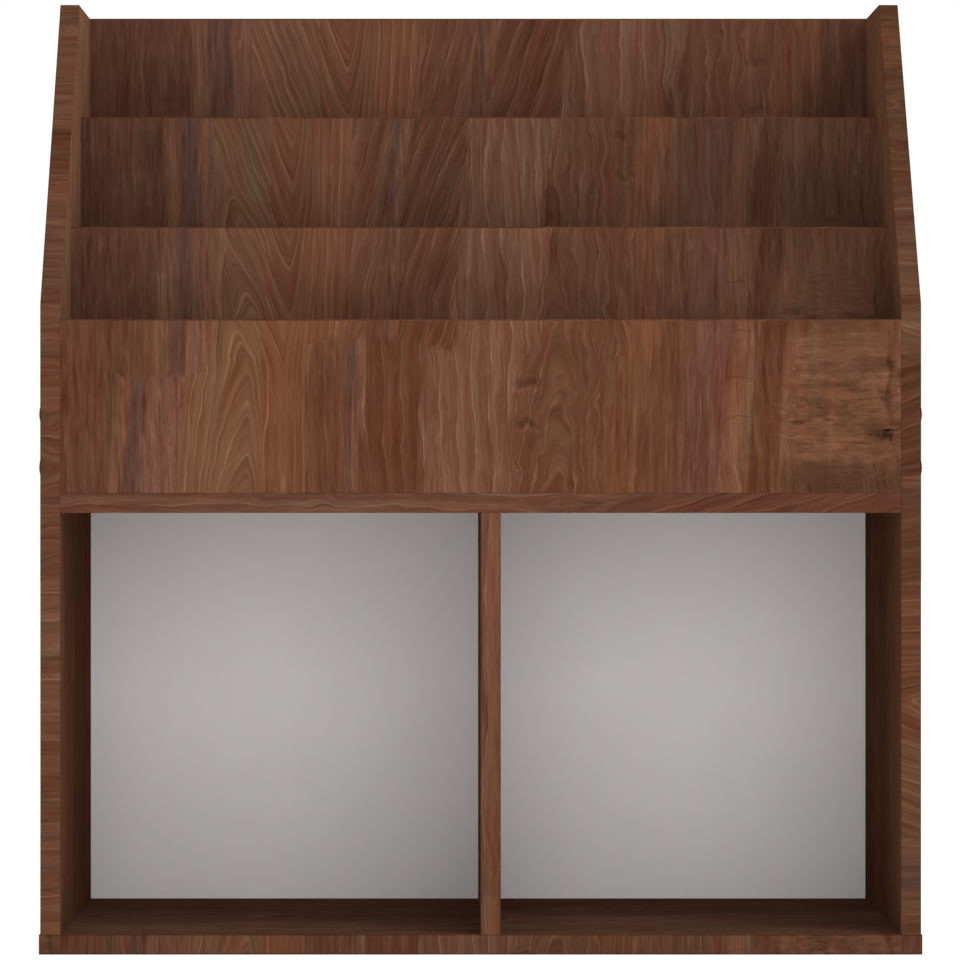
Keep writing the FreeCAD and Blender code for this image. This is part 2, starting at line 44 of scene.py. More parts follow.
# The decor print of the boards is a sheet of glued oak staves, as wide as the rack boards, and
# it repeats sideways. Everything on it is in millimetres: X across the grain, Y along it.
# A stave's columns are its left edge, its tone, its pith's place, the height where its cathedral
# starts, its taper (below zero the cathedral points down), the roundness of its arches, how much
# steeper they fall on the right, how far its grain wanders, how clear its rings and its pores
# are, and how far its grain tips to the left above the joint.

SHEET_WIDTH = 630.0
TONES = {
    "umber": "#543524",
    "slate": "#50362B",
    "rose_grey": "#5F3F30",
    "honey": "#5F402C",
    "fawn": "#5E3F2D",
    "burr": "#5E3E2B",
    "bark": "#523424",
    "russet": "#5E3B27",
    "mahogany": "#513120",
    "sand": "#61402D",
    "plum": "#57382A",
}
STAVES = (
    (-315, "bark", -420, 900, 0.03, 5, 1, 0.15, 0.1, 0.3, 0.0),
    (-274, "honey", -420, 900, 0.05, 5, 1, 0.10, 0.3, 0.2, 0.0),
    (-264, "slate", -420, 900, 0.05, 5, 1, 0.10, 0.1, 0.2, 0.0),
    (-250, "rose_grey", -420, 900, 0.02, 5, 1, 0.10, 0.1, 1.0, 0.0),
    (-222, "honey", -176, 500, 0.44, 4, 2.4, 0.16, 1.0, 0.2, 0.33),
    (-165, "russet", -147, 441, -0.40, 2, 2, 0.08, 1.0, 0.3, 0.0),
    (-132, "umber", -260, 900, 0.01, 5, 1, 0.12, 0.6, 0.5, -0.22),
    (-98, "slate", -260, 900, 0.03, 5, 1, 0.10, 0.0, 0.1, 0.0),
    (-92, "sand", -260, 900, 0.03, 5, 1, 0.10, 0.0, 0.1, 0.0),
    (-88, "mahogany", -260, 900, 0.12, 5, 1, 0.20, 0.9, 0.3, -0.36),
    (-40, "fawn", -200, 900, 0.08, 5, 1, 0.28, 1.0, 0.3, 0.0),
    (28, "umber", 58, 470, 0.22, 12, 1.6, 0.60, 0.9, 0.5, 0.0),
    (97, "russet", 300, 900, 0.02, 5, 1, 0.12, 0.5, 0.4, 0.0),
    (124, "umber", 300, 900, 0.02, 5, 1, 0.12, 0.5, 0.4, 0.0),
    (154, "plum", 300, 900, 0.02, 5, 1, 0.12, 0.3, 0.8, 0.0),
    (185, "sand", 300, 900, 0.02, 5, 1, 0.16, 0.4, 0.4, 0.0),
    (206, "mahogany", 100, 900, 0.02, 5, 1, 0.10, 0.2, 0.2, 0.0),
    (227, "burr", 100, 900, 0.04, 5, 1, 0.30, 0.2, 0.2, 0.0),
)
RING_PITCH = 13.0

# A colour ramp carries values from nought to one, so what it carries is divided by these spans
PITH_SPAN = 1000.0
START_SPAN = 1000.0
ROUNDNESS_SPAN = 20.0
SQUEEZE_SPAN = 4.0
STEP_SPAN = 40.0

# Above their joints the staves stand further right. A row is a place across the sheet, the step
# there, how far the staves lean to a millimetre of height above and below, and the joint's height.
STEPS = (
    (-315, 28, 0.00, 0.09, 433),
    (-222, 28, 0.00, 0.09, 433),
    (-198, 0, 0.00, 0.00, 440),
    (-140, 0, 0.00, 0.00, 455),
    (-106, 26, 0.05, 0.05, 462),
    (-73, 22, 0.08, 0.07, 462),
    (-20, 19, 0.16, 0.09, 452),
    (118, 8, 0.24, 0.09, 448),
    (200, 0, 0.18, 0.09, 450),
    (315, 0, 0.00, 0.09, 450),
)

# Noise patches: how wide and long they are in millimetres, their detail and their roughness.
# The first ones lie on the sheet, and the second ones follow the rings.
SHEET_PATCHES = {
    "uneven": (2.4, 70, 2.0, 0.6),
    "drift": (5, 160, 2.0, 0.6),
    "hue": (6, 120, 1.5, 0.6),
    "bend": (90, 240, 1.0, 0.5),
    "ripple": (15, 26, 2.0, 0.5),
    "cloud": (30, 50, 2.0, 0.5),
    "blotch": (20, 11, 3.0, 0.6),
}
RING_PATCHES = {
    "shift": (12, 60, 1.0, 0.5),
    "presence": (5, 44, 1.0, 0.5),
    "fibre": (2.4, 34, 2.0, 0.8),
    "streak": (5, 170, 2.0, 0.6),
    "vein": (5, 60, 1.0, 0.5),
    "pore": (1.1, 6, 1.0, 0.5),
    "crack": (2.8, 22, 1.0, 0.5),
}

# How far the noise moves things to and fro, in millimetres: the staves' edges, their ends at a
# joint, the grain in long bends and in short ripples, the burl's outline and the spots' outlines
STAVE_FRAYS = {"uneven": 26, "drift": 22}
JOINT_FRAY = 24.0
# Within this many millimetres of a joint, above and below, two tones melt into each other
JOINT_MELT = 5.0
BEND = 12.0
RIPPLE = 26.0
BURL_FRAY = 60.0
SPOT_FRAY = 12.0

# How much each pattern brightens the print, and what they all come to on average
STRENGTHS = {"fibre": 1.5, "streak": 0.8, "cloud": 0.5, "line": 0.60, "latewood": 0.30,
             "vein": 0.26, "rim": 0.24, "pore": 0.16}
AVERAGE_LIGHT = 0.33

# Red, green and blue: how far each one follows the light, where it stands without it, and how far
# the hue noise turns it. Red follows least, so dark grain is warmer than pale grain.
CHANNEL_SLOPES = (0.72, 1.0, 1.17)
CHANNEL_LEVELS = (1.01, 1.015, 1.055)
HUE_SLOPES = (0.34, -0.14, -0.22)

# Knots, cross breaks and patches on the sheet, two of them partly painted shade: the middle, the
# half width and half height, and how much brighter or darker they are there. Spots are round and
# soft, blocks square and crisp.
SPOTS = (
    (35, 429, 12, 3.6, -0.34),
    (35, 424, 12, 1.5, 0.20),
    (35, 397.5, 12, 3.6, -0.34),
    (35, 392.5, 12, 1.5, 0.20),
    (62, 419, 7, 9, 0.30),
    (62, 419, 5.5, 7, -0.42),
    (64, 390, 7, 9, 0.30),
    (64, 390, 5.5, 7, -0.42),
    (113, 544, 9, 3.6, -0.22),
    (113, 539, 9, 1.5, 0.14),
    (115, 513, 9, 3.6, -0.22),
    (115, 508, 9, 1.5, 0.14),
    (302, 421, 7, 5, -0.42),
    (303, 389, 7, 5, -0.46),
    (307, 432, 2.5, 44, -0.30),
    (272, 353, 64, 21, -0.30),
    (-102, 515, 34, 62, 0.18),
    # These two darken the right ends of the upper boards: partly a darker print, partly painted
    # shade cast by the right side panel
    (262, 490, 62, 40, -0.24),
    (232, 540, 82, 50, -0.24),
    (30, 500, 34, 40, 0.12),
)
BLOCKS = (
    (-264, 532, 18, 15.5, -0.10),
    (195, 418, 10, 14.5, 0.12),
    (195, 388, 10, 14, 0.06),
    (193, 433.5, 8, 0.5, -0.26),
    (193, 403, 8, 0.5, -0.26),
    (197, 468, 6, 0.6, -0.30),
    (240, 462, 13, 14, 0.06),
    (247, 420, 20, 26, 0.05),
    (276, 358, 52, 13, -0.13),
)

# The burl's ellipse, and the rectangle that its cracks and dark blotches keep to, given like spots
BURL = (270, 412, 44, 68)
KNOTTY_PART = (270, 409, 80, 45)


def column_ramp(tree, place, rows, interpolation):
    """A ramp over the sheet's width with one stop to a row: a place in millimetres and the
    colour there. It gives the colour, its three channels and its alpha."""
    ramp = add(tree, "ValToRGB", place).node
    ramp.color_ramp.interpolation = interpolation
    elements = ramp.color_ramp.elements
    elements.remove(elements[1])
    for index, (millimetres, colour) in enumerate(rows):
        position = millimetres / SHEET_WIDTH + 0.5
        element = elements[0] if index == 0 else elements.new(position)
        element.position = position
        element.color = colour
    channels = add(tree, "SeparateColor", ramp.outputs["Color"]).node
    return [ramp.outputs["Color"], *channels.outputs, ramp.outputs["Alpha"]]


def patches(tree, vector, table):
    """Noise on a vector in millimetres, one for each row of a table of patches."""
    return {name: add(tree, "TexNoise",
                      add(tree, "VectorMath", vector, (1 / across, 1 / along, 1 / across),
                          operation="MULTIPLY"),
                      None, 1.0, detail, roughness)
            for name, (across, along, detail, roughness) in table.items()}


def spot(tree, across, along, x, y, half_width, half_height, full, none, square=False):
    """One inside an ellipse or a rectangle about x, y and nought outside it, with a smooth edge
    between the shares full and none of its half width and half height."""
    offsets = [add(tree, "Math", add(tree, "Math", axis, -middle), 1 / half, operation="MULTIPLY")
               for axis, middle, half in ((across, x, half_width), (along, y, half_height))]
    if square:
        sizes = [add(tree, "Math", offset, operation="ABSOLUTE") for offset in offsets]
        length = add(tree, "Math", *sizes, operation="MAXIMUM")
    else:
        length = add(tree, "VectorMath", add(tree, "CombineXYZ", *offsets), out=1,
                     operation="LENGTH")
    return add(tree, "MapRange", length, full, none, 1.0, 0.0, interpolation_type="SMOOTHSTEP")


def find_stave(tree, across, along):
    """Where a point lies on the sheet. It gives the point's place across the sheet, its height
    over the joint, the part of that height above nought, and its shares of the sheet's width once
    the staves' lean is taken out: the one below the joint, and the one above it, where the staves
    stand further right."""
    share = add(tree, "Math", add(tree, "Math", across, 1 / SHEET_WIDTH, 0.5,
                                  operation="MULTIPLY_ADD"), operation="FRACT")
    sheet_across = add(tree, "Math", share, SHEET_WIDTH, -SHEET_WIDTH / 2,
                       operation="MULTIPLY_ADD")
    _, step, lean_above, lean_below, joint = column_ramp(
        tree, share, [(row[0], (row[1] / STEP_SPAN, row[2], row[3], row[4] / START_SPAN))
                      for row in STEPS], "LINEAR")
    height = add(tree, "Math", joint, -START_SPAN, along, operation="MULTIPLY_ADD")
    above = add(tree, "Math", height, 0.0, operation="MAXIMUM")
    below = add(tree, "Math", height, 0.0, operation="MINIMUM")
    lean = add(tree, "Math", lean_above, above, add(tree, "Math", lean_below, below,
                                                    operation="MULTIPLY"),
               operation="MULTIPLY_ADD")
    low_share = add(tree, "Math", lean, -1 / SHEET_WIDTH, share, operation="MULTIPLY_ADD")
    high_share = add(tree, "Math", step, -STEP_SPAN / SHEET_WIDTH, low_share,
                     operation="MULTIPLY_ADD")
    return sheet_across, height, above, low_share, high_share


def stave_tone(tree, sheet, past, low_share, high_share):
    """The staves' tones. Each side of the joint takes them twice, with uneven edges of two kinds,
    and the two sides melt into each other."""
    tones = []
    for side in (low_share, high_share):
        for name, reach in STAVE_FRAYS.items():
            moved = add(tree, "Math", sheet[name], reach / SHEET_WIDTH, -reach / 2 / SHEET_WIDTH,
                        operation="MULTIPLY_ADD")
            moved = add(tree, "Math", side, moved)
            tones.append(column_ramp(tree, moved,
                                     [(stave[0], linear(TONES[stave[1]])) for stave in STAVES],
                                     "CONSTANT")[0])
    low_tone, high_tone = [
        add(tree, "Mix", 0.5, inputs={6: first, 7: second}, out=2, data_type="RGBA")
        for first, second in (tones[:2], tones[2:])]
    melt = add(tree, "Math", sheet["uneven"], JOINT_FRAY, add(tree, "Math", past, -JOINT_FRAY / 2),
               operation="MULTIPLY_ADD")
    at_joint = add(tree, "MapRange", melt, -JOINT_MELT, JOINT_MELT, 0.0, 1.0,
                   interpolation_type="SMOOTHSTEP")
    return add(tree, "Mix", at_joint, inputs={6: low_tone, 7: high_tone}, out=2,
               data_type="RGBA")


def find_ring(tree, sheet, ripple, share, sheet_across, along, above):
    """The place among the rings: the distance from the pith of the stave at a share of the
    sheet's width, less the arch of its cathedral. The pith wanders in long bends and in short
    ripples. It gives that place, the plain way to the pith across the sheet, and how clear the
    stave's rings and pores are."""
    _, pith, start, taper, roundness = column_ramp(tree, share, [
        (stave[0], (stave[2] / PITH_SPAN + 0.5, stave[3] / START_SPAN, stave[4] / 2 + 0.5,
                    stave[5] / ROUNDNESS_SPAN)) for stave in STAVES], "CONSTANT")
    _, squeeze, wander, clear_rings, clear_pores = column_ramp(tree, share, [
        (stave[0], (stave[6] / SQUEEZE_SPAN, *stave[7:10])) for stave in STAVES], "CONSTANT")
    tip = column_ramp(tree, share, [(stave[0], (stave[10] + 0.5, 0, 0, 1)) for stave in STAVES],
                      "CONSTANT")[1]

    bend = add(tree, "Math", sheet["bend"], BEND, -BEND / 2, operation="MULTIPLY_ADD")
    sway = add(tree, "Math", ripple, wander, bend, operation="MULTIPLY_ADD")
    sway = add(tree, "Math", add(tree, "Math", tip, -0.5), above, sway,
               operation="MULTIPLY_ADD")
    pith_across = add(tree, "Math", pith, PITH_SPAN, -PITH_SPAN / 2, operation="MULTIPLY_ADD")
    offset_from_pith = add(tree, "Math", add(tree, "Math", sheet_across, sway), pith_across,
                           operation="SUBTRACT")
    squeezed = add(tree, "Math", offset_from_pith,
                   add(tree, "Math", squeeze, SQUEEZE_SPAN, operation="MULTIPLY"),
                   operation="MULTIPLY")
    offset = add(tree, "Math", offset_from_pith, squeezed, operation="MAXIMUM")
    rounding = add(tree, "Math", roundness, ROUNDNESS_SPAN, operation="MULTIPLY")
    rounding = add(tree, "Math", rounding, rounding, operation="MULTIPLY")
    reach = add(tree, "Math", add(tree, "Math", offset, offset, rounding, operation="MULTIPLY_ADD"),
                operation="SQRT")

    # The cathedral's lines rise steeply near the pith and less so further out
    start_height = add(tree, "Math", start, START_SPAN, operation="MULTIPLY")
    below_start = add(tree, "Math", start_height, along, operation="SUBTRACT")
    slope = add(tree, "Math", taper, 2.0, -1.0, operation="MULTIPLY_ADD")
    arch = add(tree, "Math", add(tree, "Math", below_start, slope, operation="MULTIPLY"), 0.0, 4.0,
               operation="SMOOTH_MAX")
    steepness = add(tree, "MapRange", reach, 12, 52, 1.0, 0.3, interpolation_type="SMOOTHSTEP")
    arch = add(tree, "Math", arch, steepness, operation="MULTIPLY")
    ring_place = add(tree, "Math", reach, arch, operation="SUBTRACT")
    return ring_place, offset_from_pith, clear_rings, clear_pores


def ring_lines(tree, phase, presence, clear_rings):
    """Light ring lines, broken along their length, with fainter ones halfway between them. A line
    is given by its turns to a ring, where it is full and where it ends in turns, and its light."""
    line = 0.0
    for turns, full, none, brightest in ((1.0, 0.01, 0.09, 1.0), (2.0, 0.02, 0.15, 0.3)):
        turn = add(tree, "Math", phase, turns, operation="MULTIPLY")
        from_line = add(tree, "Math", add(tree, "Math", turn, operation="FRACT"), 0.5,
                        operation="SUBTRACT")
        lit = add(tree, "MapRange", add(tree, "Math", from_line, operation="ABSOLUTE"),
                  full, none, brightest, 0.0, interpolation_type="SMOOTHSTEP")
        line = add(tree, "Math", lit, line)
    return add(tree, "Math", add(tree, "Math", line, presence, operation="MULTIPLY"), clear_rings,
               operation="MULTIPLY")


def oak_print():
    """The printed oak figure as a node group. Place is a point on the print in millimetres: X
    across the grain, Y along it, Z into the board. A ring is found at the distance
    sqrt(x ** 2 + roundness ** 2) - taper * (start - y) from the pith, so its lines arch over the
    pith below the start and run straight above it, and the fibres follow the rings. Even draws
    the staves' tones towards Tone, and Joint raises their joints by so many millimetres."""
    tree = bpy.data.node_groups.new("printed_oak", "ShaderNodeTree")
    for name, direction, kind in (("Place", "INPUT", "Vector"), ("Even", "INPUT", "Float"),
                                  ("Tone", "INPUT", "Color"), ("Joint", "INPUT", "Float"),
                                  ("Color", "OUTPUT", "Color"),
                                  ("Relief", "OUTPUT", "Float"), ("Sheen", "OUTPUT", "Float")):
        tree.interface.new_socket(name, in_out=direction, socket_type=f"NodeSocket{kind}")
    place, even, even_tone, raised = tree.nodes.new("NodeGroupInput").outputs[:4]
    across, along, deep = add(tree, "SeparateXYZ", place).node.outputs[:3]
    sheet = patches(tree, place, SHEET_PATCHES)

    # The stave, its tone and its rings
    sheet_across, height, above, low_share, high_share = find_stave(tree, across, along)
    past = add(tree, "Math", height, raised, operation="SUBTRACT")
    tone = stave_tone(tree, sheet, past, low_share, high_share)
    past_joint = add(tree, "Math", past, 0.0, operation="GREATER_THAN")
    share = add(tree, "Mix", past_joint, inputs={2: low_share, 3: high_share})
    ripple = add(tree, "Math", sheet["ripple"], RIPPLE, -RIPPLE / 2, operation="MULTIPLY_ADD")
    ring_place, offset_from_pith, clear_rings, clear_pores = find_ring(
        tree, sheet, ripple, share, sheet_across, along, above)

    # In the burl the grain runs across the board, within an uneven outline
    wavy_across = add(tree, "Math", ripple, 0.5, sheet_across, operation="MULTIPLY_ADD")
    wavy_along = add(tree, "Math", ripple, 0.5, along, operation="MULTIPLY_ADD")
    ragged = add(tree, "Math", sheet["blotch"], BURL_FRAY, -BURL_FRAY / 2,
                 operation="MULTIPLY_ADD")
    burl = spot(tree, add(tree, "Math", wavy_across, ragged), wavy_along, *BURL, full=0.98,
                none=1.02)
    depth = add(tree, "Math", offset_from_pith, 0.08, deep, operation="MULTIPLY_ADD")
    straight = add(tree, "CombineXYZ", ring_place, along, depth)
    turned = add(tree, "CombineXYZ", add(tree, "Math", ripple, 0.15, along,
                                         operation="MULTIPLY_ADD"), sheet_across, deep)
    fibre_place = add(tree, "Mix", burl, inputs={4: straight, 5: turned}, out=1,
                      data_type="VECTOR")
    grain = patches(tree, fibre_place, RING_PATCHES)

    # Each ring has its line and darkens on the way to the next one, and pores and veins run along
    # the grain
    phase = add(tree, "Math", ring_place, 1 / RING_PITCH, operation="MULTIPLY")
    phase = add(tree, "Math", grain["shift"], 0.9, phase, operation="MULTIPLY_ADD")
    presence = add(tree, "MapRange", grain["presence"], 0.34, 0.60, 0.0, 1.0)
    line = ring_lines(tree, phase, presence, clear_rings)
    within = add(tree, "Math", add(tree, "Math", phase, 0.5), operation="FRACT")
    latewood = add(tree, "Math", add(tree, "Math", 0.5, within, operation="SUBTRACT"), clear_rings,
                   operation="MULTIPLY")
    pore = add(tree, "MapRange", grain["pore"], 0.56, 0.72, 0.0, 1.0)
    pore = add(tree, "Math", pore, clear_pores, operation="MULTIPLY")
    from_vein = add(tree, "Math", add(tree, "Math", grain["vein"], -0.5), operation="ABSOLUTE")
    vein = add(tree, "MapRange", from_vein, 0.0, 0.05, 1.0, 0.0, interpolation_type="SMOOTHSTEP")
    vein = add(tree, "Math", vein, presence, operation="MULTIPLY")

    # The burl has cracks, dark and pale blotches, and pale rims round the blotches
    crack = add(tree, "MapRange", grain["crack"], 0.66, 0.74, 0.0, -0.42)
    blotch = add(tree, "MapRange", sheet["blotch"], 0.35, 0.65, -0.34, 0.14)
    from_rim = add(tree, "Math", add(tree, "Math", sheet["blotch"], -0.54), operation="ABSOLUTE")
    rim = add(tree, "MapRange", from_rim, 0.0, 0.022, burl, 0.0, interpolation_type="SMOOTHSTEP")
    knotty_part = spot(tree, wavy_across, wavy_along, *KNOTTY_PART, full=0.8, none=1.0,
                       square=True)
    knotty_part = add(tree, "Math", knotty_part, burl, operation="MULTIPLY")
    knotty = add(tree, "Math", add(tree, "Math", crack, blotch), knotty_part,
                 operation="MULTIPLY")

    # The fibres are calmer in the burl and where the rings are clear
    calm = add(tree, "Math", burl, -0.50, 1.0, operation="MULTIPLY_ADD")
    smooth = add(tree, "Math", clear_rings, -0.4, calm, operation="MULTIPLY_ADD")
    fibre = add(tree, "Math", add(tree, "Math", grain["fibre"], -0.5), smooth,
                operation="MULTIPLY")
    streak = add(tree, "Math", add(tree, "Math", grain["streak"], -0.5), calm,
                 operation="MULTIPLY")

    # Together the patterns are nought on average
    light = -AVERAGE_LIGHT
    for name, pattern in (("fibre", fibre), ("streak", streak), ("cloud", sheet["cloud"]),
                          ("line", line), ("latewood", latewood), ("vein", vein), ("rim", rim),
                          ("pore", pore)):
        light = add(tree, "Math", pattern, STRENGTHS[name], light, operation="MULTIPLY_ADD")
    gain = add(tree, "VectorMath", light, CHANNEL_SLOPES, CHANNEL_LEVELS,
               operation="MULTIPLY_ADD")
    hue = add(tree, "Math", sheet["hue"], -0.5)
    gain = add(tree, "VectorMath", hue, HUE_SLOPES, gain, operation="MULTIPLY_ADD")

    # Knots, cracks and patches, two of them partly painted shade, shade all three channels alike
    shade = add(tree, "Math", knotty, 1.0)
    frayed = add(tree, "Math", sheet["uneven"], SPOT_FRAY,
                 add(tree, "Math", wavy_along, -SPOT_FRAY / 2), operation="MULTIPLY_ADD")
    for table, rise, full, none, square in ((SPOTS, frayed, 0.3, 1.3, False),
                                            (BLOCKS, wavy_along, 0.9, 1.1, True)):
        for *place_and_size, strength in table:
            shape = spot(tree, wavy_across, rise, *place_and_size, full, none, square)
            shade = add(tree, "Math", shape, strength, shade, operation="MULTIPLY_ADD")
    tone = add(tree, "Mix", even, inputs={6: tone, 7: even_tone}, out=2, data_type="RGBA")
    colour = add(tree, "VectorMath", add(tree, "VectorMath", tone, gain, operation="MULTIPLY"),
                 inputs={"Scale": shade}, operation="SCALE")
    relief = add(tree, "Math", pore, -0.5, add(tree, "Math", grain["fibre"], 0.5,
                                               operation="MULTIPLY"),
                 operation="MULTIPLY_ADD")
    sheen = add(tree, "Math", grain["fibre"], 0.16, 0.50, operation="MULTIPLY_ADD")
    result = tree.nodes.new("NodeGroupOutput")
    for socket, value in zip(result.inputs, (colour, relief, sheen)):
        tree.links.new(value, socket)
    return tree


def raw_chipboard():
    """The sawn edge of chipboard as a node group: flat chips two or three millimetres long, each
    of its own tone, in glue-bound dust."""
    tree = bpy.data.node_groups.new("raw_chipboard", "ShaderNodeTree")
    tree.interface.new_socket("Place", in_out="INPUT", socket_type="NodeSocketVector")
    tree.interface.new_socket("Color", in_out="OUTPUT", socket_type="NodeSocketColor")
    tree.interface.new_socket("Relief", in_out="OUTPUT", socket_type="NodeSocketFloat")
    place = tree.nodes.new("NodeGroupInput").outputs[0]
    chips = add(tree, "TexVoronoi", place, None, 0.42).node
    tone = add(tree, "SeparateColor", chips.outputs["Color"])
    dust = add(tree, "TexNoise", place, None, 0.9, 3.0, 0.6)
    tone = add(tree, "Math", dust, 0.8, add(tree, "Math", tone, 0.6, -0.2,
                                            operation="MULTIPLY_ADD"), operation="MULTIPLY_ADD")
    colour = add(tree, "Mix", tone, inputs={6: linear("#66503A"), 7: linear("#A68A67")}, out=2,
                 data_type="RGBA")
    relief = add(tree, "Math", chips.outputs["Distance"], dust, operation="MULTIPLY")
    result = tree.nodes.new("NodeGroupOutput")
    tree.links.new(colour, result.inputs[0])
    tree.links.new(relief, result.inputs[1])
    return tree


PRINT = oak_print()
CHIPBOARD = raw_chipboard()

# Which object axes run across the grain, along it and into the board
UPRIGHT_CROSS = (0, 2, 1)
UPRIGHT_SIDE = (1, 2, 0)
LYING = (1, 0, 2)
EDGE_ACROSS = (2, 0, 1)

# Behind this place in Y a board shows its sawn rear edge
REAR_EDGE = 149.8
# The heights between which a side's tone drifts from its darker foot tone, painted shade in the
# cubbies, to its lighter tone above, painted light in the pockets
PAINTED_SHADE_UP_TO = 260
PAINTED_LIGHT_FROM = 640


def new_material(name, **sockets):
    """A material, its node tree, its shader with plain values on sockets, and object coordinates
    in millimetres."""
    material = bpy.data.materials.new(name)
    material.use_nodes = True
    tree = material.node_tree
    shader = tree.nodes["Principled BSDF"]
    for socket, value in sockets.items():
        shader.inputs[socket.replace("_", " ")].default_value = value
    place = add(tree, "VectorMath", add(tree, "TexCoord", out="Object"), (1000, 1000, 1000),
                operation="MULTIPLY")
    return material, tree, shader, place


def dress(node, material):
    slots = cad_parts[node].data.materials
    for index in range(len(slots)):
        slots[index] = material


def oak_melamine(name, axes, shift=(0, 0, 0), enlarged=1.0, even=0.0, tone="#5B3829",
                 painted_shade_foot_tone=None, joint=0.0, arrises=None, raw=False):
    """Melamine board or edge band: a print of oak under a clear resin, semi-matt and lightly
    embossed. The print may be moved, enlarged, evened out towards a tone, and have its joints
    raised; on a side the tone drifts from a darker one at the foot, painted shade in the cubbies,
    to a lighter one above, painted light in the pockets. A band may have a thin dark line of
    painted shade along its rounded arrises, given as an axis and two places on it, which at the
    foot of the base's bands stands for a contact shadow, and a board may have a raw rear edge. No
    highlight shows on the boards, so the resin's reflection is left out."""
    material, tree, shader, place = new_material(name, Specular_IOR_Level=0.0)
    axis_values = add(tree, "SeparateXYZ", place).node.outputs
    turned = add(tree, "CombineXYZ", *[axis_values[axis] for axis in axes])
    turned = add(tree, "Mapping", inputs={"Vector": turned, "Location": shift,
                                          "Scale": (1 / enlarged, 1 / enlarged, 1.0)})
    group = add(tree, "Group", node_tree=PRINT).node
    tree.links.new(turned, group.inputs["Place"])
    group.inputs["Even"].default_value = even
    group.inputs["Tone"].default_value = linear(tone)
    group.inputs["Joint"].default_value = joint
    # Painted shade and light: the side is darker at its foot, in the cubbies, and lighter above, in
    # the pockets
    if painted_shade_foot_tone:
        drift = add(tree, "MapRange", axis_values[2], PAINTED_SHADE_UP_TO, PAINTED_LIGHT_FROM, 0.0, 1.0,
                    interpolation_type="SMOOTHSTEP")
        painted_shade_and_light_tone = add(tree, "Mix", drift, inputs={6: linear(painted_shade_foot_tone), 7: linear(tone)}, out=2,
                       data_type="RGBA")
        tree.links.new(painted_shade_and_light_tone, group.inputs["Tone"])
    colour, relief, sheen = group.outputs
    # Painted shade: a thin dark line along the band's rounded arrises, broken up by noise, which at
    # the foot of the base's bands stands for the contact shadow on the floor
    if arrises:
        axis, low, high = arrises
        inside = add(tree, "Math", add(tree, "Math", axis_values[axis], -low),
                     add(tree, "Math", high, axis_values[axis], operation="SUBTRACT"),
                     operation="MINIMUM")
        patchy_arris_shade = add(tree, "TexNoise", place, None, 0.05, 2.0, 0.6)
        dark = add(tree, "MapRange", inside, 0.3, 1.0, patchy_arris_shade, 0.0)
        shade = add(tree, "Math", dark, -0.7, 1.0, operation="MULTIPLY_ADD")
        colour = add(tree, "VectorMath", colour, inputs={"Scale": shade}, operation="SCALE")
    if raw:
        sawn = add(tree, "Math", axis_values[1], REAR_EDGE, operation="GREATER_THAN")
        core = add(tree, "Group", place, node_tree=CHIPBOARD).node
        colour = add(tree, "Mix", sawn, inputs={6: colour, 7: core.outputs["Color"]}, out=2,
                     data_type="RGBA")
        relief = add(tree, "Mix", sawn, inputs={2: relief, 3: core.outputs["Relief"]})
        sheen = add(tree, "Mix", sawn, inputs={2: sheen, 3: 0.9})
    bump = add(tree, "Bump", inputs={"Strength": 0.15, "Distance": 0.0002, "Height": relief})
    for socket, value in (("Base Color", colour), ("Normal", bump), ("Roughness", sheen)):
        tree.links.new(value, shader.inputs[socket])
    return material


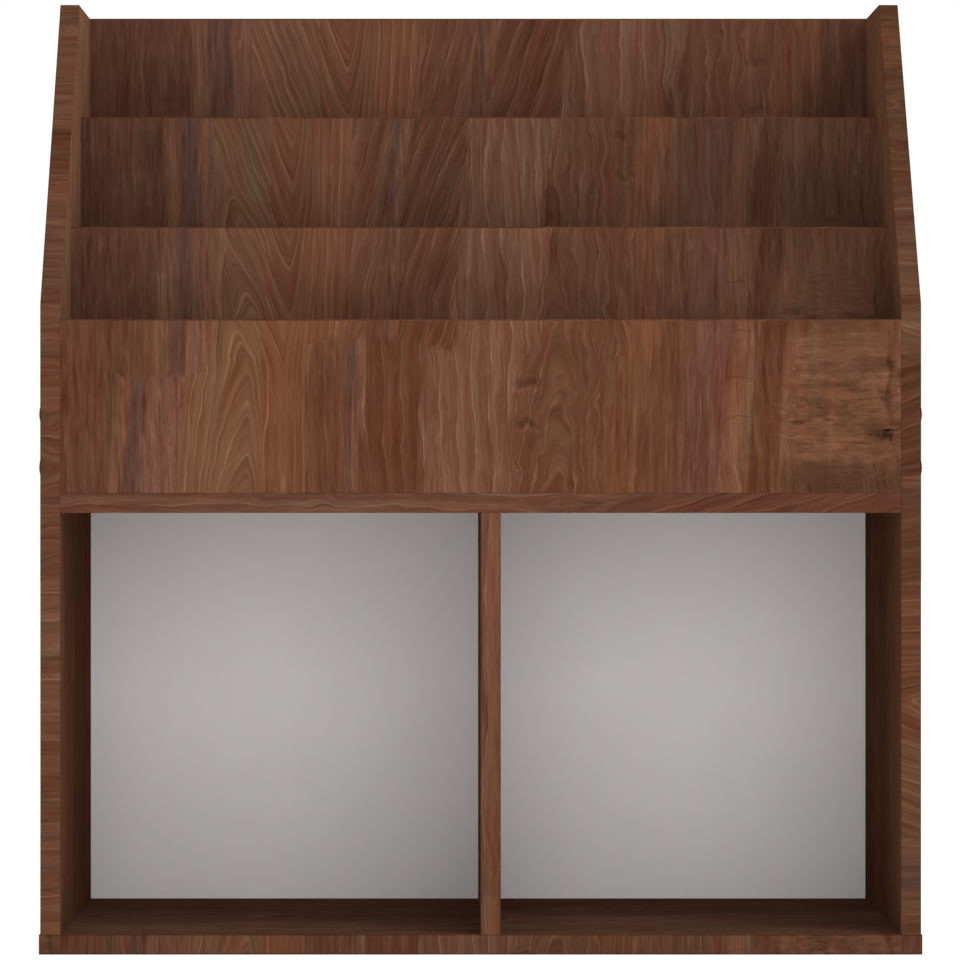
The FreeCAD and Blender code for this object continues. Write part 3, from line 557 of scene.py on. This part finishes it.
# How the print lies on each board and band, and the painted shade and light on the sides and bands
MELAMINE = {
    "front_rack_board": dict(axes=UPRIGHT_CROSS),
    "second_rack_board": dict(axes=UPRIGHT_CROSS, shift=(0, -40, 0), even=0.15,
                              tone="#674C40", joint=-60),
    "third_rack_board": dict(axes=UPRIGHT_CROSS, shift=(0, -84, 0), even=0.15,
                             tone="#453D37", joint=-60),
    "upper_back_board": dict(axes=UPRIGHT_CROSS, shift=(-64, -3, 0), enlarged=1.27,
                             even=0.15, tone="#5A4039", joint=-60),
    # The sides' darker foot tone is painted shade in the cubbies, and their lighter tone above is
    # painted light in the pockets
    "left_side_panel": dict(axes=UPRIGHT_SIDE, shift=(120, 0, 0), raw=True, even=0.7,
                            tone="#7E5A43", painted_shade_foot_tone="#5A3B29"),
    "right_side_panel": dict(axes=UPRIGHT_SIDE, shift=(-80, 0, 0), raw=True, even=0.7,
                             tone="#6B4935", painted_shade_foot_tone="#573929"),
    "cubby_divider": dict(axes=UPRIGHT_SIDE, shift=(40, 0, 0), even=0.6, tone="#5B3C2D"),
    "bottom_panel": dict(axes=LYING, shift=(60, 410, 0), raw=True, even=0.6, tone="#5D4234"),
    "middle_shelf": dict(axes=LYING, shift=(200, 410, 0), raw=True, even=0.5),
    "second_pocket_floor": dict(axes=LYING, shift=(100, 410, 0)),
    "third_pocket_floor": dict(axes=LYING, shift=(-50, 410, 0)),
    "left_side_edge_band": dict(axes=EDGE_ACROSS, shift=(-160, 410, 0), enlarged=1.7,
                                even=0.4, tone="#553828", arrises=(0, -330, -300)),
    "right_side_edge_band": dict(axes=EDGE_ACROSS, shift=(-260, 410, 0), enlarged=1.7,
                                 even=0.3, tone="#312217", arrises=(0, 300, 330)),
    "bottom_front_edge_band": dict(axes=UPRIGHT_CROSS, shift=(0, 400, 0), even=0.35,
                                   tone="#452B20", arrises=(2, 0.6, 15)),
    "bottom_left_edge_band": dict(axes=UPRIGHT_SIDE, shift=(0, 400, 0), even=0.6,
                                  arrises=(2, 0, 15)),
    "bottom_right_edge_band": dict(axes=UPRIGHT_SIDE, shift=(0, 400, 0), even=0.6,
                                   arrises=(2, 0, 15)),
    "middle_shelf_edge_band": dict(axes=EDGE_ACROSS, shift=(-351, 410, 0), even=0.5,
                                   tone="#4E3124"),
    "cubby_divider_edge_band": dict(axes=UPRIGHT_CROSS, shift=(-30, 0, 0), even=0.6,
                                    arrises=(0, 0, 15)),
    "front_rack_board_edge_band": dict(axes=LYING, shift=(35, 410, 0), even=0.5,
                                       tone="#4E3023"),
    "second_rack_board_edge_band": dict(axes=LYING, shift=(-65, 410, 0), even=0.6,
                                        tone="#482D20"),
    "third_rack_board_edge_band": dict(axes=LYING, shift=(-165, 410, 0), even=0.6,
                                       tone="#482D20"),
    "upper_back_board_edge_band": dict(axes=LYING, shift=(-260, 410, 0), even=0.6,
                                       tone="#482D20"),
}
for node, settings in MELAMINE.items():
    dress(node, oak_melamine(f"oak_melamine_{node}", **settings))


# The thin panel's middle in Y, and the pitch of the screen's wires in its rear
PANEL_MIDDLE = 144.5
SCREEN_PITCH = 2.5


def hardboard():
    """Hardboard: pressed wood fibre. Its smooth face has rolled pale grey paint, a little uneven,
    and its rear is bare brown fibre that keeps the mesh of the screen it was pressed on."""
    material, tree, shader, place = new_material("painted_hardboard", Specular_IOR_Level=0.15)
    cloud = add(tree, "TexNoise", place, None, 1 / 70, 2.0, 0.5)
    nap = add(tree, "TexNoise", place, None, 1 / 1.6, 2.0, 0.6)
    mottle = add(tree, "Math", nap, 0.3, cloud, operation="MULTIPLY_ADD")
    paint = add(tree, "Mix", mottle, inputs={6: linear("#E9E6E5"), 7: linear("#F2EFEE")}, out=2,
                data_type="RGBA")
    fibre = add(tree, "TexNoise", place, None, 1 / 3, 4.0, 0.7)
    bare = add(tree, "Mix", fibre, inputs={6: linear("#3E2716"), 7: linear("#8A6644")}, out=2,
               data_type="RGBA")
    across, deep, up = add(tree, "SeparateXYZ", place).node.outputs
    wires = [add(tree, "Math", add(tree, "Math", value, 2 * math.pi / SCREEN_PITCH,
                                   operation="MULTIPLY"), operation="SINE")
             for value in (across, up)]
    mesh = add(tree, "Math", *wires, operation="MAXIMUM")
    rear = add(tree, "Math", deep, PANEL_MIDDLE, operation="GREATER_THAN")
    colour = add(tree, "Mix", rear, inputs={6: paint, 7: bare}, out=2, data_type="RGBA")
    roughness = add(tree, "Mix", rear, inputs={2: 0.6, 3: 0.85})
    height = add(tree, "Mix", rear, inputs={2: nap, 3: mesh})
    bump = add(tree, "Bump", inputs={"Strength": 0.2, "Distance": 0.0002, "Height": height})
    for socket, value in (("Base Color", colour), ("Normal", bump), ("Roughness", roughness)):
        tree.links.new(value, shader.inputs[socket])
    return material


def mottled(name, dark, light, scale, rough_low, rough_high, relief, stretch=(1, 1, 1), **sockets):
    """A finish that wavers between two tones and two roughnesses in one noise, with its relief in
    metres. Scale is the noise's grain in millimetres, and stretch pulls it along an axis."""
    material, tree, shader, place = new_material(name, **sockets)
    place = add(tree, "VectorMath", place, stretch, operation="DIVIDE")
    noise = add(tree, "TexNoise", place, None, 1 / scale, 3.0, 0.6)
    colour = add(tree, "Mix", noise, inputs={6: linear(dark), 7: linear(light)}, out=2,
                 data_type="RGBA")
    roughness = add(tree, "MapRange", noise, 0.3, 0.7, rough_low, rough_high)
    bump = add(tree, "Bump", inputs={"Strength": 0.3, "Distance": relief, "Height": noise})
    for socket, value in (("Base Color", colour), ("Normal", bump), ("Roughness", roughness)):
        tree.links.new(value, shader.inputs[socket])
    return material


# Zinc plating on steel, bright with cloudy dull spots
ZINC = mottled("zinc_plated_steel", "#9FA19D", "#C9CAC6", 2.5, 0.25, 0.45, 0.00005, Metallic=1.0)
# Moulded polypropylene, in the boards' brown, with the mould's fine spark texture
CAP = mottled("moulded_polypropylene", "#3A2218", "#4C2E21", 0.8, 0.55, 0.70, 0.00004,
              Specular_IOR_Level=0.1)
# Bare beech, whose short dark rays run along the dowel
BEECH = mottled("bare_beech", "#B98F66", "#D4AF86", 1.0, 0.60, 0.80, 0.00005, (6, 1, 6))
dress("cubby_back_panel", hardboard())
for node in ("left_side_screws", "right_side_screws", "base_screws"):
    dress(node, ZINC)
for node in ("left_screw_caps", "right_screw_caps"):
    dress(node, CAP)
for node in ("left_side_dowels", "right_side_dowels", "side_foot_dowels", "divider_dowels",
             "rack_board_dowels"):
    dress(node, BEECH)


# The studio, in metres and watts
TABLE_SIZE = 24.0
TABLE_GLOW = 0.58
HORIZON_GLOW = 1.02
OVERHEAD_GLOW = 0.80
# The upward parts of a sight line's direction between which one glow turns to the other
GLOW_TURNS = (0.20, 0.34)
# Each light: its name, its place, its width and height, and its power
LIGHTS = (
    ("front_softbox", (0.30, -2.35, 0.78), 1.9, 1.2, 13.5),
    ("right_fill", (1.7, -1.2, 2.4), 1.2, 1.0, 24.0),
)
LIT_POINT = Vector((0, 0, 0.35))
CAMERA_PLACE = (-0.0243, -3.553, 0.3586)


def studio():
    """A shooting table that glows softly from below, a white surround that is brightest along the
    horizon and dims overhead, a large soft light in front, and a weaker one high on the right."""
    bpy.ops.mesh.primitive_plane_add(size=TABLE_SIZE, location=(0, 0, 0))
    floor = bpy.context.object
    floor.name = "studio_floor"
    table = bpy.data.materials.new("glowing_white_table")
    table.use_nodes = True
    table.cycles.emission_sampling = "NONE"
    shader = table.node_tree.nodes["Principled BSDF"]
    shader.inputs["Base Color"].default_value = linear("#F4F4F4")
    shader.inputs["Roughness"].default_value = 0.9
    shader.inputs["Specular IOR Level"].default_value = 0.0
    shader.inputs["Emission Color"].default_value = linear("#FFFFFF")
    shader.inputs["Emission Strength"].default_value = TABLE_GLOW
    floor.data.materials.append(table)

    world = bpy.data.worlds.new("studio_surround")
    world.use_nodes = True
    tree = world.node_tree
    upward = add(tree, "SeparateXYZ", add(tree, "TexCoord", out="Generated"), out="Z")
    glow = add(tree, "MapRange", upward, *GLOW_TURNS, HORIZON_GLOW, OVERHEAD_GLOW,
               interpolation_type="SMOOTHSTEP")
    tree.nodes["Background"].inputs["Color"].default_value = linear("#FFFFFF")
    tree.links.new(glow, tree.nodes["Background"].inputs["Strength"])
    bpy.context.scene.world = world

    for name, place, width, height, watts in LIGHTS:
        lamp = bpy.data.lights.new(name, "AREA")
        lamp.shape = "RECTANGLE"
        lamp.size = width
        lamp.size_y = height
        lamp.energy = watts
        box = bpy.data.objects.new(name, lamp)
        box.visible_camera = False
        box.location = place
        towards = LIT_POINT - box.location
        box.rotation_euler = towards.to_track_quat("-Z", "Y").to_euler()
        bpy.context.scene.collection.objects.link(box)


def camera():
    """A long lens level with half the rack's height, 3.4 m before its front and a little left of
    its middle, shifted to centre the rack."""
    data = bpy.data.cameras.new("camera")
    data.lens = 170.35
    data.sensor_width = 36.0
    data.shift_x = 0.0331
    data.shift_y = -0.0041
    data.clip_end = 100.0
    eye = bpy.data.objects.new("camera", data)
    eye.location = CAMERA_PLACE
    eye.rotation_euler = (math.pi / 2, 0, 0)
    bpy.context.scene.collection.objects.link(eye)
    bpy.context.scene.camera = eye


studio()
camera()
bpy.context.scene.view_settings.view_transform = "Standard"
